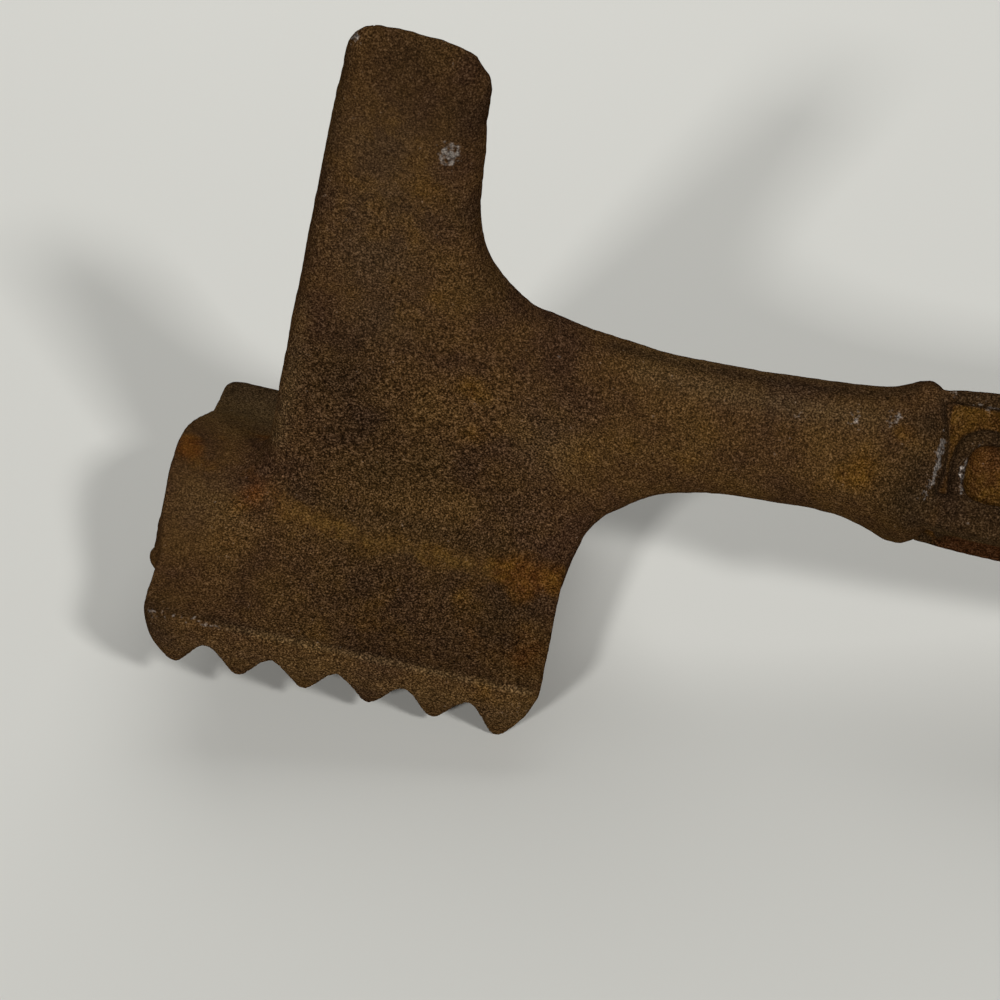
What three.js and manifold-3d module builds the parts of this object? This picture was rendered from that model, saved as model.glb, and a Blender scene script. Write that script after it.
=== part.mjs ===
import * as THREE from "three";
import { mergeVertices } from "three/addons/utils/BufferGeometryUtils.js";
import Module from "manifold-3d";

// A cast iron kitchen tool: a square toothed tenderizing head with a chopping blade above it,
// and a handle with a pocketed grip. It stands as it lies on a table, on its last row of teeth
// and the corner of its butt.
// Millimetres. The tool's own axes: x from the front of the head to the butt, y across the head,
// z up from the tips of the teeth.

// Toothed face and head
const FACE = 50;
const TEETH = 6;
const PITCH = FACE / TEETH;
const TOOTH_HEIGHT = 6.6;
const TOOTH_TIP = 0.9;
const TOOTH_GROOVE = 0.5;
const LAST_ROW_LONGER = 0.8;
const FACE_SLAB = 2;
const FACE_DRAFT = 0.22;
const EDGE_HEIGHT = 10.6;
const CREST_HEIGHT = 17.7;
const FRONT_BOW = 2.3;
const NOSE_REACH = 1.9;
const NOSE_HALF = 15;
const HEAD_CORNER = 2;

// Blade, web and neck, one plate in the middle plane
const PLATE_FRONT = 10;
const PLATE_FOOT = 20.7;
const PLATE_HALF = 3.6;
const BLADE_SHOULDER = 48.5;
const BLADE_TOP = 82.4;
const EDGE_HALF = 0.7;
const WEB_START = 39.2;
const NECK_START = 58;
const SEAM = 0.3;

// Handle: its axis starts at the collar and rises a little away from the head
const COLLAR_X = 88.5;
const COLLAR_Z = 38.7;
const RISE = THREE.MathUtils.degToRad(2.5);
const COLLAR_RADIUS = 11.6;
const COLLAR_BACK = 3;
const COLLAR_FRONT = 2.6;
const GRIP_START = COLLAR_FRONT + SEAM;
const GRIP_END = 126;
const GRIP_RADIUS = 11.5;
const GRIP_SWELL = 1.8;
const GRIP_FULLNESS = 0.62;
const GRIP_GROOVE = 11.2;
const BUTT_LENGTH = 12;
const BUTT_RADIUS = 14.4;
const POCKET_START = 6.4;
const POCKET_WIDTH = 7.2;
const POCKET_ASIDE = 1.2;
const POCKET_FLOOR = 6.4;

const RING_STEPS = 32;
const IRON = { color: 0x3e2d1a, roughness: 0.85, metalness: 0.35 };
const RUSTY_IRON = { color: 0x493113, roughness: 0.92, metalness: 0.2 };

const wasm = await Module();
wasm.setup();

function toSolid(geometry) {
  const bare = geometry.index ? geometry.toNonIndexed() : geometry.clone();
  bare.deleteAttribute("normal");
  bare.deleteAttribute("uv");
  const merged = mergeVertices(bare, 1e-4);
  return new wasm.Manifold(
    new wasm.Mesh({
      numProp: 3,
      vertProperties: merged.attributes.position.array,
      triVerts: new Uint32Array(merged.index.array),
    }),
  );
}

function toGeometry(solid) {
  const mesh = solid.getMesh();
  const geometry = new THREE.BufferGeometry();
  geometry.setAttribute("position", new THREE.BufferAttribute(mesh.vertProperties, 3));
  geometry.setIndex(new THREE.BufferAttribute(mesh.triVerts, 1));
  geometry.computeVertexNormals();
  return geometry;
}

function named(name, solid, finish) {
  const mesh = new THREE.Mesh(toGeometry(solid), new THREE.MeshStandardMaterial(finish));
  mesh.name = name;
  return mesh;
}

// A box between two corners
function block(low, high) {
  const size = new THREE.Vector3().subVectors(high, low);
  const middle = new THREE.Vector3().addVectors(low, high).multiplyScalar(0.5);
  return toSolid(new THREE.BoxGeometry(size.x, size.y, size.z).translate(...middle));
}

// A smooth curve through points [x, y], read as y at any x between the first and the last
function through(points) {
  const slope = (i) => {
    const before = points[Math.max(i - 1, 0)];
    const after = points[Math.min(i + 1, points.length - 1)];
    return (after[1] - before[1]) / (after[0] - before[0]);
  };
  return (x) => {
    const last = points.length - 2;
    const found = points.findIndex((p, i) => i <= last && x <= points[i + 1][0]);
    const i = found < 0 ? last : found;
    const span = points[i + 1][0] - points[i][0];
    const t = THREE.MathUtils.clamp((x - points[i][0]) / span, 0, 1);
    const [t2, t3] = [t * t, t * t * t];
    return (
      (2 * t3 - 3 * t2 + 1) * points[i][1] +
      (t3 - 2 * t2 + t) * span * slope(i) +
      (3 * t2 - 2 * t3) * points[i + 1][1] +
      (t3 - t2) * span * slope(i + 1)
    );
  };
}

// A rounded section: power 1 is a diamond, 2 an ellipse, more a rounded rectangle
function section(halfA, halfB, power) {
  return Array.from({ length: RING_STEPS }, (_, i) => {
    const turn = (i / RING_STEPS) * 2 * Math.PI;
    const bend = (value) => Math.sign(value) * Math.abs(value) ** (2 / power);
    return [halfA * bend(Math.cos(turn)), halfB * bend(Math.sin(turn))];
  });
}

// A closed solid through rings of points that all have the same count
function loft(rings) {
  const count = rings[0].length;
  const points = rings.flat();
  const faces = [];
  for (let r = 0; r + 1 < rings.length; r++) {
    for (let i = 0; i < count; i++) {
      const [a, b] = [r * count + i, r * count + ((i + 1) % count)];
      faces.push(a, b, b + count, a, b + count, a + count);
    }
  }
  for (const [ring, start, flip] of [
    [rings[0], 0, true],
    [rings.at(-1), (rings.length - 1) * count, false],
  ]) {
    const centre = new THREE.Vector3();
    ring.forEach((p) => centre.addScaledVector(p, 1 / count));
    points.push(centre);
    for (let i = 0; i < count; i++) {
      const [a, b] = [start + i, start + ((i + 1) % count)];
      faces.push(...(flip ? [b, a, points.length - 1] : [a, b, points.length - 1]));
    }
  }
  const geometry = new THREE.BufferGeometry().setFromPoints(points);
  geometry.setIndex(faces);
  return toSolid(geometry);
}

// Rings across x, with the section's plane tipped back by an angle
function ringAcrossX(x, z, halfY, halfZ, power, tip = 0) {
  return section(halfY, halfZ, power).map(
    ([y, up]) => new THREE.Vector3(x - up * Math.sin(tip), y, z + up * Math.cos(tip)),
  );
}

function stations(from, to, count) {
  return Array.from({ length: count }, (_, i) => from + ((to - from) * i) / (count - 1));
}

// The head's plan run upwards: a square with round corners and a nose at the front, from pointed at
// fullness 0 to blunt at 1. The bottom can be drawn in towards the middle of the face.
function headPlan(bottom, top, reach, fullness, drawnIn = 0) {
  const side = FACE / 2;
  const straight = side - HEAD_CORNER;
  const plan = new THREE.Shape();
  plan.moveTo(HEAD_CORNER, -side);
  plan.lineTo(FACE - HEAD_CORNER, -side);
  plan.quadraticCurveTo(FACE, -side, FACE, -straight);
  plan.lineTo(FACE, straight);
  plan.quadraticCurveTo(FACE, side, FACE - HEAD_CORNER, side);
  plan.lineTo(HEAD_CORNER, side);
  plan.quadraticCurveTo(0, side, 0, straight);
  plan.lineTo(0, NOSE_HALF);
  const [start, wide, near] = [reach * fullness, NOSE_HALF * 0.8, NOSE_HALF * 0.6];
  plan.bezierCurveTo(-start, wide, -reach, near, -reach, 0);
  plan.bezierCurveTo(-reach, -near, -start, -wide, 0, -NOSE_HALF);
  plan.lineTo(0, -straight);
  plan.quadraticCurveTo(0, -side, HEAD_CORNER, -side);
  const outline = plan.getPoints(7).slice(0, -1);
  const ring = (z, size) =>
    outline.map((p) => new THREE.Vector3(side + (p.x - side) * size, p.y * size, z));
  return loft([ring(bottom, 1 - drawnIn / side), ring(top, 1)]);
}

// A profile in y and z, mirrored about the middle plane and run along x
function ridge(profile, fromX, toX) {
  const shape = new THREE.Shape(
    [...profile, ...profile.map(([y, z]) => [-y, z]).reverse()].map(([y, z]) => new THREE.Vector2(y, z)),
  );
  const geometry = new THREE.ExtrudeGeometry(shape, { depth: toX - fromX, bevelEnabled: false });
  geometry.rotateX(Math.PI / 2).rotateZ(Math.PI / 2).translate(fromX, 0, 0);
  return toSolid(geometry);
}

// Shoulders fall from the crest to both edges; behind the front ledge the crest turns up
// in a hollow curve to the foot of the plate.
function makeHead() {
  const foot = FACE_SLAB + TOOTH_HEIGHT + SEAM;
  const half = FACE / 2;
  const shoulder = [
    [half, foot],
    [half, EDGE_HEIGHT],
    [half - 5, EDGE_HEIGHT + 0.4],
    [8, CREST_HEIGHT - 2.2],
  ];
  const ledge = [...shoulder, [5, CREST_HEIGHT - 0.9], [2.5, CREST_HEIGHT - 0.2], [1, CREST_HEIGHT]];
  const hollow = [
    [6.2, CREST_HEIGHT - 1.2],
    [4.9, CREST_HEIGHT],
    [4.1, CREST_HEIGHT + 1.4],
  ];
  const rise = [...shoulder, ...hollow, [PLATE_HALF, PLATE_FOOT]];
  const front = ridge(ledge, -2 * NOSE_REACH, PLATE_FRONT + 1);
  const back = ridge(rise, PLATE_FRONT, FACE + 1);
  return front.add(back).intersect(headPlan(0, PLATE_FOOT + 1, NOSE_REACH, 0.2));
}

// Rows of blunt pyramids under a thin slab, all drawn in a little towards the tips. The row nearest
// the handle is a little longer.
function makeToothFace() {
  const half = (PITCH - TOOTH_GROOVE) / Math.SQRT2;
  const tip = TOOTH_TIP / Math.SQRT2;
  const sink = 0.2;
  const tooth = new THREE.CylinderGeometry(half, tip, TOOTH_HEIGHT, 4, 1, false, Math.PI / 4);
  tooth.rotateX(Math.PI / 2).translate(0, 0, -TOOTH_HEIGHT / 2);
  const longest = TOOTH_HEIGHT + LAST_ROW_LONGER;
  const root = new THREE.BoxGeometry(PITCH - TOOTH_GROOVE, PITCH - TOOTH_GROOVE, 2 * sink);
  const top = TOOTH_HEIGHT + FACE_SLAB;
  let face = headPlan(TOOTH_HEIGHT, top, FRONT_BOW, 0.9);
  for (let row = 0; row < TEETH; row++) {
    const stretch = row === TEETH - 1 ? longest / TOOTH_HEIGHT : 1;
    for (let column = 0; column < TEETH; column++) {
      const place = [(row + 0.5) * PITCH, (column + 0.5) * PITCH - FACE / 2, TOOTH_HEIGHT];
      face = face.add(toSolid(tooth.clone().scale(1, 1, stretch).translate(...place)));
      face = face.add(toSolid(root.clone().translate(...place)));
    }
  }
  const bottom = -LAST_ROW_LONGER;
  return face.intersect(headPlan(bottom, top, FRONT_BOW, 0.9, FACE_DRAFT * (top - bottom)));
}

// Heights of the web and neck along x, and their half thickness
const plateTop = through([
  [WEB_START, BLADE_SHOULDER],
  [43, 47.5],
  [48, 46.3],
  [54, 46],
  [61, 45.9],
  [72, 46.4],
  [80, 47.1],
]);
const plateUnder = through([
  [WEB_START, -6],
  [45, 0],
  [50.3, 13.5],
  [52, 19.5],
  [55.3, 23.7],
  [60.5, 27.4],
  [67, 29.2],
  [80, 30],
]);
const thickness = through([
  [WEB_START, PLATE_HALF],
  [46, PLATE_HALF + 0.5],
  [58, 5.6],
  [70, 6.8],
  [85, 8.8],
]);

// The web fills the corner between blade, head and neck; under the neck it hollows down
// to the side of the head.
function makeWeb() {
  const foot = PLATE_FOOT + SEAM;
  const side = FACE + SEAM;
  const rings = stations(WEB_START + SEAM, NECK_START - SEAM, 19).map((x) => {
    const [under, top] = [plateUnder(x), plateTop(x)];
    const power = THREE.MathUtils.mapLinear(x, WEB_START, NECK_START, 4, 2.4);
    return ringAcrossX(x, (top + under) / 2, thickness(x), (top - under) / 2, power);
  });
  return loft(rings).subtract(block(new THREE.Vector3(0, -20, -20), new THREE.Vector3(side, 20, foot)));
}

// The neck narrows in height and thickens towards the collar
function makeNeck() {
  const end = COLLAR_X - COLLAR_BACK - SEAM;
  const shared = [58, 66, 74];
  const top = through([...shared.map((x) => [x, plateTop(x)]), [80, 47.2], [end, 48.3]]);
  const under = through([...shared.map((x) => [x, plateUnder(x)]), [80, 29.8], [end, 28.4]]);
  return loft(
    stations(NECK_START, end, 14).map((x) => {
      const along = (x - NECK_START) / (end - NECK_START);
      const middle = (top(x) + under(x)) / 2;
      const half = (top(x) - under(x)) / 2;
      return ringAcrossX(x, middle, thickness(x), half, 2.4 - 0.8 * along, RISE * along);
    }),
  );
}

// The blade stands on the head: nearly straight at the front, flaring into the web at the back,
// thin at the top.
function makeBlade() {
  const foot = PLATE_FOOT + SEAM;
  const back = through([
    [BLADE_SHOULDER, WEB_START],
    [49.7, 37.3],
    [52.3, 34.3],
    [56.1, 31.8],
    [61.4, 30.5],
    [70.7, 29.8],
    [76.7, 29.4],
    [79.7, 28.4],
    [81.4, 26.4],
    [BLADE_TOP, 21],
  ]);
  const front = through([
    [foot, PLATE_FRONT],
    [68.7, 11.7],
    [78.7, 12.2],
    [81, 13],
    [82.1, 15],
    [BLADE_TOP, 18],
  ]);
  const half = through([
    [foot, PLATE_HALF],
    [BLADE_SHOULDER, 3.5],
    [65, 2.9],
    [77, 2.1],
    [BLADE_TOP, EDGE_HALF],
  ]);
  const flare = stations(BLADE_SHOULDER, 60, 8);
  const levels = [foot, 35, ...flare, ...stations(63, 77, 4), 79, 80.3, 81.3, 82, BLADE_TOP];
  return loft(
    levels.map((z) => {
      const [from, to] = [front(z), z < BLADE_SHOULDER ? WEB_START : back(z)];
      const power = THREE.MathUtils.mapLinear(z, foot, BLADE_TOP, 6, 3);
      return section((to - from) / 2, half(z), power).map(
        ([along, across]) => new THREE.Vector3((from + to) / 2 + along, across, z),
      );
    }),
  );
}

// The collar: a rounded diamond that swells to a bead and falls to the grip
function makeCollar() {
  const crest = through([
    [-COLLAR_BACK, COLLAR_RADIUS - 1.6],
    [-1.5, COLLAR_RADIUS - 0.5],
    [0, COLLAR_RADIUS],
    [1.1, COLLAR_RADIUS - 0.4],
    [COLLAR_FRONT, COLLAR_RADIUS - 1.1],
  ]);
  return loft(
    stations(-COLLAR_BACK, COLLAR_FRONT, 9).map((x) => ringAcrossX(x, 0, crest(x), crest(x), 1.4)),
  );
}

function gripRadius(x) {
  const along = THREE.MathUtils.clamp((x - GRIP_START) / (GRIP_END - GRIP_START), 0, 1);
  return GRIP_RADIUS + GRIP_SWELL * Math.sin(Math.PI * along ** GRIP_FULLNESS);
}

// A long slot with round ends, to be sunk in one facet of the grip, a little off its middle line
function pocket(turn, aside) {
  const end = GRIP_END - POCKET_START;
  const r = POCKET_WIDTH / 2;
  const slot = new THREE.Shape();
  slot.absarc(POCKET_START + r, aside, r, Math.PI / 2, (3 * Math.PI) / 2);
  slot.absarc(end - r, aside, r, -Math.PI / 2, Math.PI / 2);
  const geometry = new THREE.ExtrudeGeometry(slot, { depth: 10, bevelEnabled: false, curveSegments: 8 });
  return toSolid(geometry.translate(0, 0, POCKET_FLOOR).rotateX(turn));
}

// The grip: a square bar set on its edge, swelling in the middle, with a pocket in each facet
function makeGrip() {
  const ring = (x, radius) => ringAcrossX(x, 0, radius, radius, 1.06);
  const groove = [GRIP_START, GRIP_START + 0.7].map((x) => ring(x, GRIP_GROOVE));
  const bar = stations(GRIP_START + 1.5, GRIP_END, 16).map((x) => ring(x, gripRadius(x)));
  let grip = loft([...groove, ...bar]);
  for (let facet = 0; facet < 4; facet++) {
    const towardsSide = facet % 2 ? POCKET_ASIDE : -POCKET_ASIDE;
    grip = grip.subtract(pocket(Math.PI / 4 + (facet * Math.PI) / 2, towardsSide));
  }
  return grip;
}

// The butt: the bar's plain end, a little larger than the grip
function makeButt() {
  const start = GRIP_END + SEAM;
  const radius = through([
    [start, gripRadius(GRIP_END)],
    [start + BUTT_LENGTH * 0.5, BUTT_RADIUS - 0.6],
    [start + BUTT_LENGTH - 2.5, BUTT_RADIUS],
    [start + BUTT_LENGTH, BUTT_RADIUS - 1.8],
  ]);
  return loft(
    stations(start, start + BUTT_LENGTH, 9).map((x) => ringAcrossX(x, 0, radius(x), radius(x), 1.12)),
  );
}

const handle = new THREE.Group();
handle.position.set(COLLAR_X, 0, COLLAR_Z);
handle.rotation.y = -RISE;
handle.add(named("collar", makeCollar(), IRON));
handle.add(named("grip", makeGrip(), RUSTY_IRON));
handle.add(named("butt", makeButt(), IRON));

const tool = new THREE.Group();
tool.add(named("tooth_face", makeToothFace(), IRON));
tool.add(named("head_block", makeHead(), IRON));
tool.add(named("web", makeWeb(), IRON));
tool.add(named("blade", makeBlade(), IRON));
tool.add(named("neck", makeNeck(), IRON));
tool.add(handle);

// The tool leans on the handle side of its last row of teeth and the lower corner of its butt.
const tipX = FACE - PITCH / 2 + TOOTH_TIP / 2;
const corner = new THREE.Vector3(GRIP_END + BUTT_LENGTH - 2.2, 0, -BUTT_RADIUS);
handle.updateMatrix();
corner.applyMatrix4(handle.matrix);
tool.rotation.y = Math.atan2(corner.z + LAST_ROW_LONGER, corner.x - tipX);

const part = new THREE.Group();
part.add(tool);
const box = new THREE.Box3().setFromObject(part, true);
const centre = box.getCenter(new THREE.Vector3());
tool.position.set(-centre.x, -centre.y, -box.min.z);

export default part;
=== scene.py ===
"""An old one-piece cast iron meat tenderizer: toothed head, chopping blade, neck, collar and grip."""

import math

import bmesh
import bpy
import numpy as np
from mathutils import Matrix, Vector


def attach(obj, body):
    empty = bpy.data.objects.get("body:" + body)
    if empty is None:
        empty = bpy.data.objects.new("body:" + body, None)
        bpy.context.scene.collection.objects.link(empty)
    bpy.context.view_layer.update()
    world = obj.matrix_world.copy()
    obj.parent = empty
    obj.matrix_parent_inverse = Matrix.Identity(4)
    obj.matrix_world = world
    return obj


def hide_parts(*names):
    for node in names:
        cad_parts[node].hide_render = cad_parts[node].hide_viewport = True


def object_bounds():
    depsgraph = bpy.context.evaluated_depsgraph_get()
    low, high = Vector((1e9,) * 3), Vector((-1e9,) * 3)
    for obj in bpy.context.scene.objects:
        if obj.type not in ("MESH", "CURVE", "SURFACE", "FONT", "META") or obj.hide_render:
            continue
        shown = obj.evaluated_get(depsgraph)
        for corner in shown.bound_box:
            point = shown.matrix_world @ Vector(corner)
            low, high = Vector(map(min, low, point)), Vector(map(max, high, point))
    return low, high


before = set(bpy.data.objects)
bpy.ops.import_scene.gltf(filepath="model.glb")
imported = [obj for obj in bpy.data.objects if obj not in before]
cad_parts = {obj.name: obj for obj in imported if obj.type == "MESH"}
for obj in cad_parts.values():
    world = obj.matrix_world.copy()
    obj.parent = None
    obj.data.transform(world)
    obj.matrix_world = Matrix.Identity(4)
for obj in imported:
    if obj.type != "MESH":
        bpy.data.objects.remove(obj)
cad_box = [list(corner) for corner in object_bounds()]

# The tool's own axes, in millimetres: u from the front of the head to the butt, w across the head,
# v up from the tips of the teeth. It lies tipped on its last row of teeth and its butt.
LEAN = math.radians(9.8630)
TOOL_AT = (-115.9012, 0.0, 8.7162)

# The seam between two CAD solids. The casting is cut in its middle.
SEAM = 0.3

# Toothed head
FACE = 50
PITCH = FACE / 6
TOOTH_HEIGHT = 6.6
TOOTH_TIP = 0.45
TIP_ROUNDING = 1.2
TIP_DROP = 0.4
ROOT_HALF = 0.2
ROOT_ROUNDING = 2.4
LAST_ROW_LONGER = 0.8
SLAB_TOP = 8.6
DRAFT = 0.22
NOSE_HALF = 15
NOSE_REACH = 2.3
NOSE_WAVE = 0.2
NOSE_BACK = 0.4
CREST = 17.7
EDGE = 10.6
CORNER_ROUNDING = 2.4
ROOF_ROUNDING = 0.5
TOOTH_SIDE_ROUNDING = 0.4
KNOB_AT = (-0.4, 12.9, 9.1)
KNOB_RADIUS = 1.25
KNOB_FILLET = 1.5

# Plate, blade and neck
PLATE_HALF = 3.6
PLATE_FOOT = 20.85
PLATE_REACH = 66
PLATE_ROUNDING = 3.4
PLATE_GROWTH = 0.15
SHOULDER = 48.5
BLADE_TOP = 82.4
WEB_ROOT = 39.2
WEB_START = 39.35
WEB_LENGTH = 18.8
NECK_START = 57.85
NECK_LENGTH = 27.2
NECK_END = 88

# The power of each section along the handle: 1 is a sharp diamond, 2 an oval and 4 nearly square
WEB_POWER = 4
NECK_POWER = 2.4
NECK_END_POWER = 1.6
BEAD_POWER = 1.4
GRIP_POWER = 1.1
BUTT_POWER = 1.12

# Handle, along its own axis from the collar
COLLAR_AT = (88.5, 38.7)
RISE = math.radians(2.5)
COLLAR_START = -3.15
BEAD_START = -5
RIM_AT_TOP = 2.1
RIM_AT_SIDE = 1.8
RIM_ON_FACET = 3.4
RIM_DEPTH = 7.5
RIM_SLOPE = 0.35
GRIP_START = 2.75
GRIP_END = 126.15
GRIP_RADIUS = 11.5
GRIP_SWELL = 1.8
BUTT_LENGTH = 12
BUTT_RADIUS = 14.4

# On each facet of the grip: a shallow panel, and a slot with a raised lip in it
PANEL_START = 1.9
PANEL_END = 124.5
PANEL_LOW = 0.1
PANEL_HIGH = 8.1
PANEL_DROP = 3.4
PANEL_DEPTH = 0.8
SLOT_START = 5.9
SLOT_HALF = 3.6
SLOT_ASIDE = 1.2
SLOT_FLOOR = 6.3
LIP_RADIUS = 0.95
LIP_THINNER = 0.55
LIP_OUT = 0.8
LIP_DOWN = 0.4

# Fillets where the parts run into each other
HEAD_FILLET = 4.5
COLLAR_FILLET = 1.2
GRIP_FILLET = 0.4
BUTT_FILLET = 0.8

# The grid on which the casting is worked out. From this start no mesh edge gets more than two faces.
GRID = 0.41
GRID_START = (-4.15, 0, -2.05)
GRID_END = (231, 27.5, 85)
CORNERS = [(i, j, k) for i in (0, 1) for j in (0, 1) for k in (0, 1)]

# The cast surface's unevenness: height and size of the lumps, number of waves, and seed
LUMPS = ((0.05, 9, 40, 3), (0.03, 3.2, 60, 4), (0.022, 1.4, 60, 5))


# Curves
def through(points):
    """A smooth curve through points (x, y)."""
    x, y = np.array(points, float).T
    slope = np.gradient(y, x)
    slope[1:-1] = (y[2:] - y[:-2]) / (x[2:] - x[:-2])

    def read(at):
        at = np.clip(at, x[0], x[-1])
        i = np.clip(np.searchsorted(x, at, side="right") - 1, 0, len(x) - 2)
        span = x[i + 1] - x[i]
        t = (at - x[i]) / span
        return (
            (2 * t**3 - 3 * t**2 + 1) * y[i]
            + (t**3 - 2 * t**2 + t) * span * slope[i]
            + (3 * t**2 - 2 * t**3) * y[i + 1]
            + (t**3 - t**2) * span * slope[i + 1]
        )

    return read


# Heights over u: the upper and lower line of web and neck, and how much thicker they are than the plate
plate_top = through(
    [(WEB_ROOT, SHOULDER), (43, 47.6), (48, 46.4), (54, 46.1), (61, 45.9), (72, 46.4), (80, 47.2)]
    + [(NECK_END, 48.9)]
)
plate_under = through(
    [(WEB_ROOT, -6), (45, 0), (50.3, 13.5), (52, 19.5), (55.3, 23.7), (60.5, 27.4), (67, 29.2)]
    + [(80, 29.9), (NECK_END, 27.6)]
)
plate_extra = through([(WEB_ROOT, 0), (46, 0.5), (58, 2), (70, 3.2), (85, 5.2)])

# Over v: the blade's half thickness, its front edge and its back edge
blade_half = through([(21, PLATE_HALF), (SHOULDER, 3.5), (65, 2.9), (77, 2.1), (BLADE_TOP, 0.75)])
blade_front = through([(12, 9.9), (21, 10), (68.7, 11.7), (78.7, 12.2)])
blade_back = through(
    [(SHOULDER, 39.4), (49.7, 37.6), (52.3, 34.6), (56.1, 32), (61.4, 30.6), (70.7, 29.8), (73.5, 29.3)]
)

# The blade's worn top (u, v), from its front edge to its back edge
BLADE_TOP_LINE = [
    (12.4, 79.9),
    (13, 80.9),
    (14.2, 81.8),
    (15.4, 82.2),
    (18, BLADE_TOP),
    (22.4, 82.1),
    (25.6, 81.5),
    (27, 80.9),
    (27.8, 79.8),
    (28.9, 78.7),
    (29.3, 77.2),
    (29.4, 75.4),
]

# The head's roof over w, and the radii of collar and butt along the handle
roof_height = through([(0, CREST), (4, 17), (7.3, 15.8), (11.5, 13.9), (16, 12), (20, 11), (25, EDGE)])
collar_crest = through(
    [(-6, 8.2), (-3, 9.9), (-1.5, 10.9), (0, 11.5), (0.8, 11.5), (1.7, 11), (2.8, 10.2), (6, 8.6)]
)
butt_radius = through(
    [(126.3, 11.5), (132.3, BUTT_RADIUS - 0.6), (135.8, BUTT_RADIUS), (138.3, BUTT_RADIUS - 1.8)]
)


def grip_radius(x):
    """Half the grip's height. It swells most at a third of its length."""
    along = np.clip((x - GRIP_START) / (GRIP_END - GRIP_START), 0, 1)
    return GRIP_RADIUS + GRIP_SWELL * np.sin(np.pi * along**0.62)


def facet_depth(x):
    """From the axis to just under a facet's middle, where the depths of panel and lip are taken from."""
    return (grip_radius(x) - 0.25) / 1.46


def ease(low, high, x):
    """From 0 at low to 1 at high, smooth between."""
    t = np.clip((x - low) / (high - low), 0, 1)
    return t * t * (3 - 2 * t)


# Fields: below zero inside the iron, and about the distance to its surface elsewhere. A factor under 1
# is there where a formula grows faster than distance does.
def join(a, b, soft):
    """Both solids, with a fillet between them."""
    h = np.clip(0.5 + 0.5 * (b - a) / soft, 0, 1)
    return b + (a - b) * h - soft * h * (1 - h)


def meet(a, b, soft):
    """What the two solids share, with rounded edges."""
    return -join(-a, -b, soft)


def nose_reach(w, v):
    """How far the nose stands out in front. Its foot is blunter, and wavy over the roots of the teeth."""
    from_middle = np.clip(w / NOSE_HALF, 0, 1)
    wave = NOSE_WAVE * from_middle * np.cos(2 * np.pi * w / PITCH)
    foot = NOSE_REACH * (1 - from_middle**4) - wave
    crest = (NOSE_REACH - NOSE_BACK * ease(11, 14, v)) * (1 - from_middle**2)
    return foot + (crest - foot) * ease(8.2, 10, v)


def teeth_height(u, w):
    """Height of the toothed face: six by six blunt pyramids, the last row longer."""
    across = np.abs((w / PITCH) % 1 - 0.5) * PITCH
    along = np.abs((u / PITCH) % 1 - 0.5) * PITCH
    out = (across**5 + along**5) ** 0.2
    slope = TOOTH_HEIGHT / (PITCH / 2 - ROOT_HALF - TOOTH_TIP)
    tooth = meet((out - TOOTH_TIP) * slope, 0 * out, TIP_ROUNDING) - TIP_DROP
    tooth = join(tooth, 0 * out + TOOTH_HEIGHT, ROOT_ROUNDING)
    longer = 1 + LAST_ROW_LONGER / TOOTH_HEIGHT * (u > FACE - PITCH)
    return TOOTH_HEIGHT - (TOOTH_HEIGHT - tooth) * longer


def head_field(u, w, v):
    """The toothed head, with draft on the slab's sides and the knob on its front edge."""
    drawn = DRAFT * np.clip(SLAB_TOP - v, 0, None)
    sides = meet(w + drawn - FACE / 2, u + drawn - FACE, CORNER_ROUNDING)
    plan = meet(sides, drawn - u - nose_reach(w, v), CORNER_ROUNDING)
    body = meet(plan, (v - roof_height(w)) * 0.9, ROOF_ROUNDING)
    from_knob = np.sqrt((u - KNOB_AT[0]) ** 2 + (w - KNOB_AT[1]) ** 2 + (v - KNOB_AT[2]) ** 2)
    body = join(body, from_knob - KNOB_RADIUS, KNOB_FILLET)
    return meet(body, (teeth_height(u, w) - v) * 0.5, TOOTH_SIDE_ROUNDING)


def outline_distance(points, u, v):
    """Signed distance from a closed outline in the middle plane."""
    far = np.full(np.broadcast(u, v).shape, 1e9, np.float32)
    odd = np.zeros(far.shape, bool)
    for (au, av), (bu, bv) in zip(points, points[1:] + points[:1]):
        du, dv = bu - au, bv - av
        t = np.clip(((u - au) * du + (v - av) * dv) / (du * du + dv * dv), 0, 1)
        far = np.minimum(far, (u - au - t * du) ** 2 + (v - av - t * dv) ** 2)
        if dv:
            odd ^= ((v >= av) != (v >= bv)) & (u < au + (v - av) / dv * du)
    return np.where(odd, -1, 1) * np.sqrt(far)


def plate_outline():
    """The outline of blade and web, up the front and back under the neck."""
    front = [(float(blade_front(z)), z) for z in (12, 21, 35, 50, 60, 68.7, 74, 78.7)]
    back = [(float(blade_back(z)), z) for z in np.linspace(73, SHOULDER, 22)]
    top = [(x, float(plate_top(x))) for x in np.linspace(39.8, PLATE_REACH, 24)]
    under = [(x, float(plate_under(x))) for x in np.linspace(PLATE_REACH, 50.3, 22)]
    return front + BLADE_TOP_LINE + back + top + under


def blade_field(u, w, v):
    """The flat plate with the blade, and its rounded edges."""
    half = blade_half(v) + plate_extra(u)
    shape = outline_distance(plate_outline(), u, v) - PLATE_GROWTH
    return meet(w - half, shape, np.minimum(PLATE_ROUNDING, 1.3 * half))


def neck_field(u, w, v):
    """The neck's oval section."""
    middle = (plate_top(u) + plate_under(u)) / 2
    high = (plate_top(u) - plate_under(u)) / 2
    wide = PLATE_HALF + plate_extra(u)
    in_web = WEB_POWER - (WEB_POWER - NECK_POWER) * (u - WEB_ROOT) / WEB_LENGTH
    in_neck = NECK_POWER - (NECK_POWER - NECK_END_POWER) * (u - NECK_START) / NECK_LENGTH
    power = np.clip(np.where(u < NECK_START, in_web, in_neck), NECK_END_POWER, WEB_POWER)
    oval = ((w / wide) ** power + (np.abs(v - middle) / high) ** power) ** (1 / power)
    return np.maximum((oval - 1) * wide, u - NECK_END)


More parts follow.
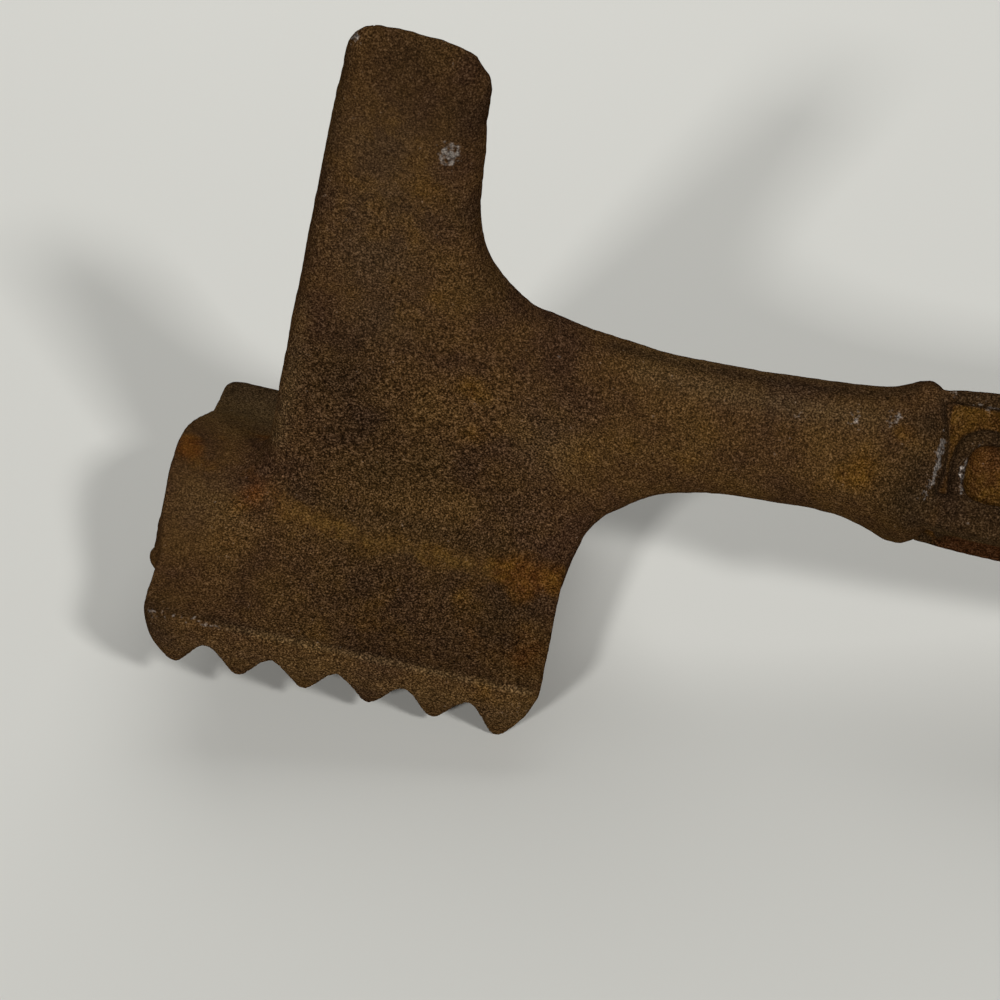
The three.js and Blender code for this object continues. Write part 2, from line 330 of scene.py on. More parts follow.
def plate_field(u, w, v):
    """The plate, which turns into the neck behind the blade."""
    turn = ease(43, 57, u)
    return blade_field(u, w, v) * (1 - turn) + neck_field(u, w, v) * turn


def along_handle(u, v):
    """Place along the handle's axis from the collar, and height above that axis."""
    du, dv = u - COLLAR_AT[0], v - COLLAR_AT[1]
    return du * math.cos(RISE) + dv * math.sin(RISE), dv * math.cos(RISE) - du * math.sin(RISE)


def diamond(w, z, power):
    """Distance from the axis in a diamond section. A higher power rounds its corners more."""
    return (w**power + z**power) ** (1 / power)


def collar_field(x, w, z):
    """A bead around the diamond. Its face towards the grip slopes, and is set back at the vertices."""
    facet = 2 * np.minimum(w, z) / (w + z + 0.01)
    at_vertex = RIM_AT_TOP - (RIM_AT_TOP - RIM_AT_SIDE) * w / (w + z + 0.01)
    rim = at_vertex + (RIM_ON_FACET - at_vertex) * ease(0, 0.8, facet)
    depth = (w + z) / math.sqrt(2)
    bead = (diamond(w, z, BEAD_POWER) - collar_crest(x)) * 0.85
    collar = meet(bead, x + RIM_SLOPE * (depth - RIM_DEPTH) - rim, 0.8)
    return np.maximum(collar, BEAD_START - x)


def panel_field(x, beside, depth):
    """What the panel takes from a facet. It is wider next to the collar."""
    end = np.abs(x - (PANEL_START + PANEL_END) / 2) - (PANEL_END - PANEL_START) / 2
    low = PANEL_LOW - PANEL_DROP * ease(9.5, 7, x)
    side = np.abs(beside - (PANEL_HIGH + low) / 2) - (PANEL_HIGH - low) / 2
    return meet(meet(side, end, 1.5), facet_depth(x) - PANEL_DEPTH - depth, 0.4)


def slot_outline(x, beside):
    """Distance from the slot's edge on a facet. Its ends are rounded squares."""
    middle = GRIP_END / 2
    past = np.clip(np.abs(x - middle) - (middle - SLOT_START - SLOT_HALF), 0, None)
    return (past**3 + np.abs(beside) ** 3) ** (1 / 3) - SLOT_HALF


def grip_field(x, w, z):
    """The square bar on its edge, with panel, raised lip and slot in each facet."""
    depth = (w + z) / math.sqrt(2)
    beside = (z - w) / math.sqrt(2) + SLOT_ASIDE
    slot = slot_outline(x, beside)
    bar = (diamond(w, z, GRIP_POWER) - grip_radius(x)) * 0.75
    bar = meet(bar, -panel_field(x, beside, depth), 0.6)
    lip_radius = LIP_RADIUS - LIP_THINNER * ease(8, 16, np.minimum(x, GRIP_END - x))
    lip = np.sqrt((slot - LIP_OUT) ** 2 + (depth - facet_depth(x) + LIP_DOWN) ** 2) - lip_radius
    bar = join(bar, lip, 0.7)
    bar = meet(bar, -meet(slot, SLOT_FLOOR - depth, 1.2), 0.6)
    return np.maximum(bar, np.maximum(1.5 - x, x - GRIP_END - 3))


def butt_field(x, w, z):
    """The plain end, a little larger than the grip."""
    side = (diamond(w, z, BUTT_POWER) - butt_radius(x)) * 0.75
    butt = meet(side, x - GRIP_END - BUTT_LENGTH - SEAM / 2, 1.0)
    return np.maximum(butt, GRIP_END - x)


def casting_field(u, w, v):
    """The whole casting. The fillet above the head is widest near the back, and narrow behind it."""
    fillet = HEAD_FILLET + 4 * ease(36, 46, u) - 6 * ease(47, 51, u)
    body = join(head_field(u, w, v), plate_field(u, w, v), fillet)
    x, z = along_handle(u, v)
    z = np.abs(z)
    body = join(body, collar_field(x, w, z), COLLAR_FILLET)
    grip = join(grip_field(x, w, z), butt_field(x, w, z), BUTT_FILLET)
    return join(body, grip, GRIP_FILLET)


# Mesh
def cell_points(field, cells):
    """In each cell, the middle of the places where its edges pass through the surface."""
    total = np.zeros((len(cells), 3))
    crossings = np.zeros((len(cells), 1))
    for a in CORNERS:
        for axis in range(3):
            if a[axis]:
                continue
            b = tuple(1 if n == axis else a[n] for n in range(3))
            fa = field[tuple((cells + a).T)]
            fb = field[tuple((cells + b).T)]
            cross = (fa < 0) != (fb < 0)
            t = np.where(cross, fa / np.where(cross, fa - fb, 1), 0)
            at = np.array(a, float) + t[:, None] * np.eye(3)[axis]
            total += at * cross[:, None]
            crossings += cross[:, None]
    return cells + total / crossings


def quads_around(axis, inside, number):
    """The four cells around each grid edge along the axis that passes through the surface."""
    n, m = (axis + 1) % 3, (axis + 2) % 3
    low = [slice(1, -1)] * 3
    high = [slice(1, -1)] * 3
    low[axis], high[axis] = slice(0, -1), slice(1, None)
    first, second = inside[tuple(low)], inside[tuple(high)]
    edges = np.argwhere(first != second)
    leaving = first[tuple(edges.T)]
    edges[:, n] += 1
    edges[:, m] += 1
    ring = []
    for dn, dm in ((1, 1), (0, 1), (0, 0), (1, 0)):
        cell = edges.copy()
        cell[:, n] -= dn
        cell[:, m] -= dm
        ring.append(number[tuple(cell.T)])
    ring = np.stack(ring, 1)
    ring[~leaving] = ring[~leaving][:, ::-1]
    return ring


def surface_net(field):
    """Closed quad mesh where the field is zero, in grid steps."""
    inside = field < 0
    shape = np.array(field.shape) - 1
    count = np.zeros(shape, np.int8)
    for i, j, k in CORNERS:
        count += inside[i : i + shape[0], j : j + shape[1], k : k + shape[2]]
    cells = np.argwhere((count > 0) & (count < 8))
    number = np.full(shape, -1, np.int64)
    number[tuple(cells.T)] = np.arange(len(cells))
    quads = [quads_around(axis, inside, number) for axis in range(3)]
    return cell_points(field, cells), np.concatenate(quads)


def read_field(field, places):
    """The field and its slope at places given in grid steps."""
    cell = np.clip(places.astype(int), 0, np.array(field.shape) - 2)
    t = places - cell
    value = np.zeros(len(places))
    slope = np.zeros((len(places), 3))
    for corner in CORNERS:
        f = field[tuple((cell + corner).T)]
        a = [t[:, n] if on else 1 - t[:, n] for n, on in enumerate(corner)]
        sign = [1 if on else -1 for on in corner]
        value += f * a[0] * a[1] * a[2]
        slope[:, 0] += f * sign[0] * a[1] * a[2]
        slope[:, 1] += f * sign[1] * a[0] * a[2]
        slope[:, 2] += f * sign[2] * a[0] * a[1]
    return value, slope


def onto_surface(field, places):
    """Moves the mesh's points to where the field is zero, by at most 0.4 of a grid step each time."""
    for _ in range(2):
        value, slope = read_field(field, places)
        steep = np.maximum((slope**2).sum(1), 0.02)
        step = slope * (value / steep)[:, None]
        length = np.linalg.norm(step, axis=1)[:, None]
        places = places - step * np.minimum(1, 0.4 / np.maximum(length, 1e-9))
    return places


def lumps(places, size, waves, seed):
    """Smooth random unevenness around zero, mostly within 1, of about that size in millimetres."""
    rng = np.random.default_rng(seed)
    way = rng.normal(size=(waves, 3))
    way /= np.linalg.norm(way, axis=1)[:, None]
    pace = 2 * np.pi / (size * rng.uniform(0.7, 1.5, waves))
    start = rng.uniform(0, 2 * np.pi, waves)
    total = np.zeros(len(places))
    for n in range(waves):
        total += np.cos(places @ way[n] * pace[n] + start[n])
    return total / math.sqrt(waves)


def cast_body():
    """The casting's points in the tool's axes, and its quads. Only the lumps differ from side to side."""
    u, w, v = (np.arange(low, high, GRID, dtype=np.float32) for low, high in zip(GRID_START, GRID_END))
    half = casting_field(u[:, None, None], w[None, :, None], v[None, None, :]).astype(np.float32)
    field = np.concatenate([half[:, :0:-1], half], axis=1)
    places, quads = surface_net(field)
    places = onto_surface(field, places)
    slope = read_field(field, places)[1]
    normal = slope / np.maximum(np.linalg.norm(slope, axis=1), 1e-6)[:, None]
    places = places * GRID + np.array([u[0], -w[-1], v[0]])
    uneven = sum(height * lumps(places, size, waves, seed) for height, size, waves, seed in LUMPS)
    return places + normal * uneven[:, None], quads


def to_row(places):
    """From the tool's axes in millimetres to the row frame in metres."""
    c, s = math.cos(LEAN), math.sin(LEAN)
    x = places[:, 0] * c + places[:, 2] * s + TOOL_AT[0]
    z = -places[:, 0] * s + places[:, 2] * c + TOOL_AT[2]
    row = np.stack([x, places[:, 1] + TOOL_AT[1], z], 1) / 1000
    return np.clip(row, np.array(cad_box[0]), np.array(cad_box[1]))


# Wear, rust, painted shade and painted highlights: soft round marks (u, |w|, v, radius, strength), each
# on both sides of the tool
def spots(places, marks):
    """How strongly the marks cover each place."""
    near = places * (1, 0, 1) + np.abs(places) * (0, 1, 0)
    total = np.zeros(len(places))
    for u, w, v, radius, strength in marks:
        far = ((near - (u, w, v)) ** 2).sum(1) / radius**2
        total = np.maximum(total, strength * np.exp(-far))
    return total


def along_line(points, count):
    """Marks evenly spread along a line of marks."""
    points = np.array(points, float)
    at = np.linspace(0, len(points) - 1, count)
    return [tuple(np.interp(t, range(len(points)), points[:, n]) for n in range(5)) for t in at]


# Orange rust: along the fillet above the head, and in patches
FILLET = [
    (8.5, 3.7, 17.2, 2.2, 0.8),
    (11.5, 5.8, 16.9, 1.8, 0.8),
    (15.7, 7, 16, 1.7, 0.85),
    (20.5, 7.9, 15.6, 1.7, 0.85),
    (25.8, 8.4, 15.3, 1.7, 0.85),
    (31, 8.6, 15.2, 1.8, 0.85),
    (35.6, 8.9, 15.2, 2, 0.9),
    (40.1, 9.2, 15.1, 2.4, 0.95),
    (44.2, 8.9, 15.2, 2.8, 1),
    (48.5, 8.5, 15.3, 3, 1),
]
FILLET_LINE = along_line(FILLET, 60)
RUST_ON_HEAD = [
    (-0.2, 0.6, 17.7, 2.4, 1.0),
    (3, 3.2, 17.3, 2, 0.6),
    (9.6, 5.9, 16.4, 3, 1.0),
    (39.5, 10.4, 14.7, 2.2, 0.8),
    (45, 10.6, 14.5, 2.8, 1.0),
    (5, 12, 14, 4, 0.4),
    (47, 19, 11.5, 5, 0.6),
    (44, 25, 9, 4, 0.5),
    (38, 13, 13.5, 3, 0.5),
    (25, 17, 12.3, 10, 0.4),
    (43, 17, 12, 10, 0.45),
    (44, 22, 5, 9, 0.3),
]
RUST_ON_BLADE = [(20, 3, 62, 9, 0.5), (17, 3, 70, 5, 0.4), (24, 3, 50, 6, 0.45)]
RUST_ON_WEB = [(36, 3.4, 31, 4, 0.5), (33, 3.6, 38, 4, 0.45), (52, 4, 33, 6, 0.4)]
RUST_ON_NECK = [
    (62, 6, 38, 8, 0.35),
    (79, 8, 36, 5, 0.45),
    (81.8, 7.6, 41.4, 4, 0.7),
    (85.5, 4.9, 46, 2.2, 0.8),
]
RUST = FILLET_LINE + RUST_ON_HEAD + RUST_ON_BLADE + RUST_ON_WEB + RUST_ON_NECK

# Red rust: on the head, before the collar and at the slot's end
RED = [
    (-0.4, 0.4, 17.5, 3, 0.6),
    (9.8, 5, 17, 3.2, 0.75),
    (8, 12, 13.8, 3, 0.35),
    (40, 18, 11.8, 2.5, 0.5),
    (47, 19, 11.5, 4, 0.5),
    (46, 9.6, 15, 4, 0.4),
    (86, 1.5, 48.5, 4, 0.35),
    (97.5, 3.4, 44.8, 3, 0.6),
]

# Rubbed through to grey iron, partly real wear and partly painted highlight: along the collar's rim, the
# lip at the slot's end, the head's edge and the grip's top edge, where the highlights fall; and rubbed
# spots on blade, last tooth, neck and collar
RIM_WEAR_AND_HIGHLIGHT = [
    (89.5, 10.2, 41.2, 0.6, 0.5),
    (89.8, 9.7, 41.9, 0.6, 0.6),
    (90.3, 8, 43.7, 0.6, 0.7),
    (90.6, 6.2, 45.4, 0.7, 0.95),
    (90.8, 4.9, 46.5, 0.6, 0.9),
    (90.7, 3.8, 47.4, 0.5, 0.45),
]
LIP_WEAR_AND_HIGHLIGHT = [
    (95.3, 4.6, 47, 0.7, 0.6),
    (94.6, 6, 45.5, 0.8, 0.9),
    (94.1, 7.3, 44.2, 0.9, 1),
    (94.6, 8.1, 43.4, 0.8, 0.8),
    (94.2, 8.8, 42.6, 0.9, 0.5),
]
EDGE_WEAR_AND_HIGHLIGHT = [(1, 25, EDGE - 0.2, 0.8, 0.38), (9, 25, EDGE, 0.8, 0.36), (13, 25, EDGE, 0.8, 0.1)]
RIDGE_WEAR_AND_HIGHLIGHT = [
    (93.2, 1.1, 49.5, 0.6, 0.4),
    (96.5, 1.2, 49.7, 0.6, 0.7),
    (110, 1.2, 50.6, 0.6, 0.6),
    (200, 1.2, 54.4, 0.7, 0.6),
]
BARE_SPOTS = [
    (12.9, 0.6, 80.6, 0.8, 0.8),
    (26.1, 2.7, 69.3, 1.5, 0.9),
    (47, 25, 6, 2, 0.3),
    (73, 4.4, 44.9, 1.2, 0.35),
    (80, 3.8, 45.9, 1.2, 0.5),
    (84.5, 3.5, 47, 1.2, 0.5),
    (91, 0, 50, 0.8, 0.5),
]
WEAR_AND_HIGHLIGHTS = along_line(RIM_WEAR_AND_HIGHLIGHT, 24) + along_line(LIP_WEAR_AND_HIGHLIGHT, 16) + along_line(EDGE_WEAR_AND_HIGHLIGHT, 30)
WEAR_AND_HIGHLIGHTS += along_line(RIDGE_WEAR_AND_HIGHLIGHT, 160) + BARE_SPOTS

# Darker areas: on the plate, the head, the collar and in the grip's slot, some of them painted shade
DARK_ON_PLATE = [
    (20, 2, 80, 6, 0.55),
    (28, 2.5, 75, 5, 0.6),
    (29.5, 2.6, 62, 3, 0.5),
    (33.6, 2.3, 52.7, 4, 0.4),
    (17.8, 3.6, 35, 7, 0.6),
    (22, 3.6, 29, 7, 0.5),
    (19.4, 3.6, 23, 6, 0.35),
    (24.6, 3.6, 22.8, 6, 0.55),
    (30, 3.6, 25, 6, 0.5),
    (40.5, 3.7, 20.4, 5, 0.4),
]
# Partly darker mottling, partly painted shade under the fillet's lit band and at the head's front end
# along its edge
DARK_AND_SHADE_ON_HEAD = [
    (1.2, 24.5, 8.5, 3.5, 0.6),
    (0.9, 24.5, 10.7, 3, 0.6),
    (22, 17, 12, 9, 0.2),
    (26, 14.5, 12.8, 8, 0.4),
    (31, 18, 11.7, 5, 0.3),
    (36, 12.5, 13.5, 3.5, 0.4),
    (39, 19, 11.4, 5, 0.4),
    (42, 13, 13.2, 3.5, 0.45),
    (43, 11.8, 13.9, 2, 0.5),
    (43.5, 13.3, 13.3, 3, 0.7),
    (43.1, 15.5, 12.6, 5, 0.7),
    (46, 18, 11.6, 5, 0.5),
    (47, 13.5, 13, 3, 0.5),
]
DARK_ON_COLLAR = [
    (86, 7, 45, 3, 0.3),
    (86.5, 9.5, 42, 4, 0.35),
    (87.4, 10.9, 40, 3, 0.9),
    (88, 8, 32, 4, 0.35),
    (88.4, 10.3, 41, 3.6, 1),
    (88.6, 4.5, 47.8, 2.4, 0.85),
    (88.6, 8.3, 43.6, 3, 0.9),
    (89, 11.2, 38.8, 3, 1),
]
# Painted shade inside the slot and beside the lip at its end
SHADE_IN_SLOT = [(96.2, 6.9, 43.6, 1.2, 0.9), (97.5, 3.4, 44.8, 3, 0.6)]

# Darker lines: painted shade in the groove between collar and grip, above the fillet, on the shoulder
# just inside its edge and along the neck's top; and a darker line down the blade's front edge
SHADE_IN_GROOVE = [
    (89.9, 1.2, 49.4, 1.2, 0.7),
    (90.4, 2.1, 48.6, 1.2, 0.9),
    (90.8, 3, 48, 1.2, 0.9),
    (91.2, 5, 46.2, 1.2, 0.9),
    (91.4, 7.3, 43.8, 1.3, 0.9),
    (91, 9.6, 41, 1.5, 0.95),
    (90.2, 10.9, 39, 1.5, 0.9),
    (89.8, 11.4, 37.8, 1.2, 0.7),
]
SHADE_ABOVE_FILLET = [(14.9, 4.8, 17.8, 1.9, 0.5), (22, 5.5, 17.1, 1.9, 0.55), (41.2, 6, 16.8, 2, 0.6)]
BLADE_FRONT = [(11.5, 2, 45, 1.5, 0.3), (12.3, 1.5, 79, 1.5, 0.6)]
SHADOW_INSIDE_EDGE = [(0.5, 24.2, 10.9, 0.7, 0.7), (30, 24.2, 10.9, 0.7, 0.6), (50, 24.2, 10.9, 0.7, 0.4)]
SHADE_ON_NECK_TOP = [(u, 0, float(plate_top(u)), 1.3, 0.75) for u in np.linspace(50, 86, 40)]
DARK_AND_SHADE = DARK_ON_PLATE + DARK_AND_SHADE_ON_HEAD + DARK_ON_COLLAR + SHADE_IN_SLOT + SHADE_ON_NECK_TOP
DARK_AND_SHADE += along_line(SHADE_IN_GROOVE, 20) + along_line(SHADE_ABOVE_FILLET, 30)
DARK_AND_SHADE += along_line(BLADE_FRONT, 40) + along_line(SHADOW_INSIDE_EDGE, 120)

# Paler areas and lines: on the plate and the head's front, just under the grip's side edge and on the
# teeth;
# painted highlights at the blade's front foot, on the head's edge and in the fillet; painted sheen on the
# neck's shoulder
PALE_AREAS = [
    (18.6, 2.7, 68, 6, 0.3),
    (19.6, 3, 61, 6, 0.3),
    (19.9, 3.3, 54, 6, 0.3),
    (22, 3.5, 46, 5, 0.25),
    (44, 3.8, 33, 5, 0.25),
    (3, 8, 15, 5, 0.25),
]
UNDER_SIDE_EDGE = [(91.5, 10.6, 37.4, 0.9, 0.3), (100, 11, 37.4, 0.9, 0.15), (200, 11.5, 41, 1, 0.15)]
HIGHLIGHT_ON_BLADE_FOOT = [(10.9, 2.7, 24, 1.4, 0.5), (11.8, 2.8, 32, 1.4, 0.4), (12.2, 2.6, 45, 1.2, 0.2)]
HIGHLIGHT_ON_HEAD_EDGE = [(9, 25, EDGE, 0.5, 0.3), (14, 25, EDGE, 0.6, 0.6), (49, 25, EDGE, 0.6, 0.6)]
TEETH = [(4, 25, 5, 4, 0.15), (48, 25, 5, 4, 0.25)]
SHEEN_ON_NECK_SHOULDER = [
    (54, 2.6, 45.3, 1.6, 0.3),
    (64, 2.6, 44.9, 1.8, 0.45),
    (75, 3, 45.2, 1.8, 0.5),
    (84, 3.2, 46.3, 1.8, 0.3),
]
PALE_AND_HIGHLIGHT = PALE_AREAS + along_line(UNDER_SIDE_EDGE, 160) + along_line(HIGHLIGHT_ON_BLADE_FOOT, 16)
PALE_AND_HIGHLIGHT += along_line(HIGHLIGHT_ON_HEAD_EDGE, 100) + along_line(TEETH, 30) + along_line(SHEEN_ON_NECK_SHOULDER, 20)
# Painted highlight along the fillet, over its rust
PALE_AND_HIGHLIGHT += [(u, w, v, 1.3, 0.35) for u, w, v, _, _ in along_line(FILLET[1:8], 40)]
# Painted sheen on the head's far shoulder, only on the far side
SHEEN_ON_FAR_SHOULDER = [(5, 18, 13, 9, 0.8)]

# Less grainy areas: the blade's upper half, the head's front, and the fillet
SMOOTH = [
    (20, 3, 72, 18, 0.85),
    (0, 2, 16, 10, 1),
    (0, 14, 13, 9, 0.9),
    (3, 22, 11, 7, 0.7),
    (12, 16, 12, 6, 0.5),
]
SMOOTH += [(u, w, v, radius + 0.5, 0.5) for u, w, v, radius, _ in FILLET_LINE]


def grip_masks(places):
    """Where the grip is, where its facets are sunk, and where the lower facets are red."""
    x, z = along_handle(places[:, 0], places[:, 2])
    below = z < 0
    w, z = np.abs(places[:, 1]), np.abs(z)
    depth = (w + z) / math.sqrt(2)
    beside = (z - w) / math.sqrt(2) + SLOT_ASIDE
    on_grip = ease(2.9, 3.4, x) * ease(GRIP_END - 2.5, GRIP_END - 4, x)
    sunk = ease(0.3, 0.8, facet_depth(x) - depth) * ease(9, 7.5, np.abs(beside - 1))
    return on_grip, sunk, on_grip * below * ease(4, 7, x) * ease(-5.6, -4.2, beside)


def masks_of_wear_and_painted_light(places):
    """The material's masks at each place, about 0 to 1."""
    on_grip, sunk, red_facets = grip_masks(places)
    red = np.maximum(spots(places, RED), red_facets)
    rust = np.maximum(spots(places, RUST), 0.85 * on_grip * sunk)
    # Darker areas and painted shade; the grip is darker outside its panels
    dark_and_shade = np.maximum(spots(places, DARK_AND_SHADE), on_grip * (0.8 - 0.5 * sunk))
    far_side = places[:, 1] > 0
    # Paler areas, painted highlights and painted sheen
    pale_and_highlight = np.maximum(spots(places, PALE_AND_HIGHLIGHT), spots(places, SHEEN_ON_FAR_SHOULDER) * far_side)
    away_from_head = np.maximum(ease(44, 54, places[:, 0]), ease(34, 46, places[:, 2]))
    return {
        "rust": np.maximum(rust, red),
        "red": red,
        "worn_and_highlight": spots(places, WEAR_AND_HIGHLIGHTS),
        "dark_and_shade": dark_and_shade * (1 - pale_and_highlight),
        "pale_and_highlight": pale_and_highlight,
        "smooth": np.maximum(spots(places, SMOOTH), 0.1 + 0.35 * away_from_head),
    }


# Pieces, from the toothed face to the butt, with their material slots
PIECES = {
    "tooth_face": "toothed_iron",
    "head_block": "iron",
    "blade": "iron",
    "web": "iron",
    "neck": "iron",
    "collar": "iron",
    "grip": "grip_iron",
    "butt": "iron",
}
UP = Vector((0, 0, 1))
ALONG = Vector((1, 0, 0))
HANDLE_AXIS = Vector((math.cos(RISE), 0, math.sin(RISE)))
HANDLE_START = Vector((COLLAR_AT[0], 0, COLLAR_AT[1]))
# Each cut: what lies before it, where it is, and which way is past it
CUTS = [
    ("tooth_face", UP * (SLAB_TOP + SEAM / 2), UP),
    ("head_block", UP * PLATE_FOOT, UP),
    ("blade", ALONG * WEB_START, ALONG),
    ("web", ALONG * NECK_START, ALONG),
    ("neck", HANDLE_START + HANDLE_AXIS * COLLAR_START, HANDLE_AXIS),
    ("collar", HANDLE_START + HANDLE_AXIS * GRIP_START, HANDLE_AXIS),
    ("grip", HANDLE_START + HANDLE_AXIS * GRIP_END, HANDLE_AXIS),
]


def sever(whole, place, way):
    """Cuts a bmesh in two at a plane, with a flat face on each half. Returns the half before it."""
    before = whole.copy()
    for half, side in ((before, "clear_outer"), (whole, "clear_inner")):
        everything = half.verts[:] + half.edges[:] + half.faces[:]
        made = bmesh.ops.bisect_plane(half, geom=everything, plane_co=place, plane_no=way, **{side: True})
        rim = [piece for piece in made["geom_cut"] if isinstance(piece, bmesh.types.BMEdge)]
        lid = bmesh.ops.contextual_create(half, geom=rim)["faces"][0]
        if not rim[0].is_contiguous:
            lid.normal_flip()
        lid.smooth = False
        for edge in rim:
            edge.smooth = False
    return before


def make_piece(name, half):
    """One piece of the casting as an object in the row frame, with its masks of wear, rust, painted shade
    and painted highlights.
    """
    mesh = bpy.data.meshes.new(name)
    half.to_mesh(mesh)
    half.free()
    places = np.empty(len(mesh.vertices) * 3)
    mesh.vertices.foreach_get("co", places)
    places = places.reshape(-1, 3)
    for mask_name, strength in masks_of_wear_and_painted_light(places).items():
        layer = mesh.attributes.new(mask_name, "FLOAT", "POINT")
        layer.data.foreach_set("value", np.clip(strength, 0, 1).astype(np.float32))
    mesh.vertices.foreach_set("co", to_row(places).ravel())
    mesh.update()
    piece = bpy.data.objects.new("cast_" + name, mesh)
    bpy.context.scene.collection.objects.link(piece)
    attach(piece, "root")
    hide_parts(name)
    return piece


def cut_up(places, quads):
    """The casting's mesh, cut by planes into its pieces."""
    mesh = bpy.data.meshes.new("casting")
    mesh.from_pydata(places.tolist(), [], quads.tolist())
    mesh.shade_smooth()
    rest = bmesh.new()
    rest.from_mesh(mesh)
    bpy.data.meshes.remove(mesh)
    pieces = [make_piece(name, sever(rest, place, way)) for name, place, way in CUTS]
    return pieces + [make_piece("butt", rest)]


pieces = cut_up(*cast_body())


# Shader nodes
def add(tree, kind, values=None, **settings):
    """A node, with its inputs set to numbers, colours or another node's output."""
    node = tree.nodes.new(kind)
    for name, value in settings.items():
        setattr(node, name, value)
    for name, value in (values or {}).items():
        socket = node.inputs[name]
        if isinstance(value, bpy.types.NodeSocket):
            tree.links.new(value, socket)
        else:
            socket.default_value = value
    return node


def math_node(tree, operation, a, b):
    return add(tree, "ShaderNodeMath", {0: a, 1: b}, operation=operation).outputs[0]


def plus(tree, a, b):
    return math_node(tree, "ADD", a, b)


def minus(tree, a, b):
    return math_node(tree, "SUBTRACT", a, b)


def times(tree, a, b):
    return math_node(tree, "MULTIPLY", a, b)


def around_zero(tree, value, strength):
    """Noise that goes as far below zero as above it."""
    return times(tree, minus(tree, value, 0.5), strength)


def noise(tree, place, size, detail, rough, offset):
    """Noise of about that size in millimetres, from 0 to 1 around 0.5."""
    moved = add(tree, "ShaderNodeVectorMath", {0: place, 1: (offset, offset, offset)}, operation="ADD")
    values = {"Vector": moved.outputs[0], "Scale": 1000 / size, "Detail": detail, "Roughness": rough}
    return add(tree, "ShaderNodeTexNoise", values, noise_dimensions="3D").outputs["Fac"]


def step_up(tree, value, low, high):
    """0 below low, 1 above high, smooth between."""
    values = {"Value": value, "From Min": low, "From Max": high, "To Min": 0.0, "To Max": 1.0}
    return add(tree, "ShaderNodeMapRange", values, interpolation_type="SMOOTHSTEP").outputs["Result"]


def blend(tree, factor, a, b):
    """From colour a to colour b by the factor."""
    values = {0: factor, 6: a, 7: b}
    return add(tree, "ShaderNodeMix", values, data_type="RGBA").outputs[2]


def ramp(tree, value, stops):
    """A colour read from stops (place, colour)."""
    node = add(tree, "ShaderNodeValToRGB", {"Fac": value})
    elements = node.color_ramp.elements
    while len(elements) < len(stops):
        elements.new(0.5)
    for element, (at, colour) in zip(elements, stops):
        element.position = at
        element.color = (*colour, 1)
    return node.outputs["Color"]


def mask(tree, name):
    """A wear mask of the mesh."""
    return add(tree, "ShaderNodeAttribute", attribute_name=name).outputs["Fac"]


# Colours
IRON_STOPS = [
    (0.0, (0.033, 0.0158, 0.0075)),
    (0.35, (0.044, 0.0216, 0.0082)),
    (0.65, (0.052, 0.0258, 0.0085)),
    (1.0, (0.060, 0.0308, 0.0092)),
]
ORANGE_STOPS = [
    (0.3, (0.050, 0.020, 0.0032)),
    (0.5, (0.068, 0.030, 0.0040)),
    (0.7, (0.090, 0.042, 0.0052)),
]
RED_COLOUR = (0.085, 0.024, 0.005, 1)
DARK_AND_SHADE_COLOUR = (0.014, 0.0085, 0.0045, 1)
PALE_AND_HIGHLIGHT_COLOUR = (0.088, 0.060, 0.027, 1)
BARE_AND_HIGHLIGHT_COLOUR = (0.20, 0.175, 0.155, 1)
LIGHT_GRAIN_COLOUR = (0.085, 0.061, 0.040, 1)

# How far each kind of wear, rust, painted shade and painted highlight hides the colour under it
RUST_COVER = 0.85
DARK_AND_SHADE_COVER = 0.8
PALE_AND_HIGHLIGHT_COVER = 0.6
BARE_AND_HIGHLIGHT_COVER = 0.85
LIGHT_GRAIN_COVER = 0.4

# Layers of noise: size in millimetres, detail, roughness and offset
CLOUDS = (15, 2.0, 0.5, 0.0)
BLOTCHES = (4.5, 3.0, 0.5, 0.3)
DENTS = (2.2, 2.0, 0.6, 1.9)
COARSE = (1.5, 1.0, 0.5, 1.1)
GRIT = (0.6, 1.0, 0.5, 0.7)
FINE = (0.22, 1.0, 0.6, 1.6)

# How strongly the grain lightens and darkens, as powers of e
FINE_GRAIN = 7.2
GRIT_GRAIN = 1.5
COARSE_GRAIN = 0.5
E = 2.718


def iron_colour(tree, clouds, blotches, coarse):
    """Brown iron with orange and red rust, and darker and paler areas over it, some of them painted shade
    and painted highlights.
    """
    tone = plus(tree, times(tree, clouds, 0.6), times(tree, blotches, 0.4))
    iron = ramp(tree, step_up(tree, tone, 0.34, 0.66), IRON_STOPS)
    orange = blend(tree, mask(tree, "red"), ramp(tree, coarse, ORANGE_STOPS), RED_COLOUR)
    patchy = plus(tree, mask(tree, "rust"), around_zero(tree, blotches, 1.4))
    colour = blend(tree, times(tree, step_up(tree, patchy, 0.25, 1.0), RUST_COVER), iron, orange)
    colour = blend(tree, times(tree, mask(tree, "dark_and_shade"), DARK_AND_SHADE_COVER), colour, DARK_AND_SHADE_COLOUR)
    return blend(tree, times(tree, mask(tree, "pale_and_highlight"), PALE_AND_HIGHLIGHT_COVER), colour, PALE_AND_HIGHLIGHT_COLOUR)


def grain_of(tree, fine, grit, coarse):
    """How much each grain lightens or darkens the colour, less so where the casting is smooth."""
    grain = around_zero(tree, fine, FINE_GRAIN)
    for layer, strength in ((grit, GRIT_GRAIN), (coarse, COARSE_GRAIN)):
        grain = plus(tree, grain, around_zero(tree, layer, strength))
    return times(tree, grain, minus(tree, 1.0, times(tree, mask(tree, "smooth"), 0.6)))


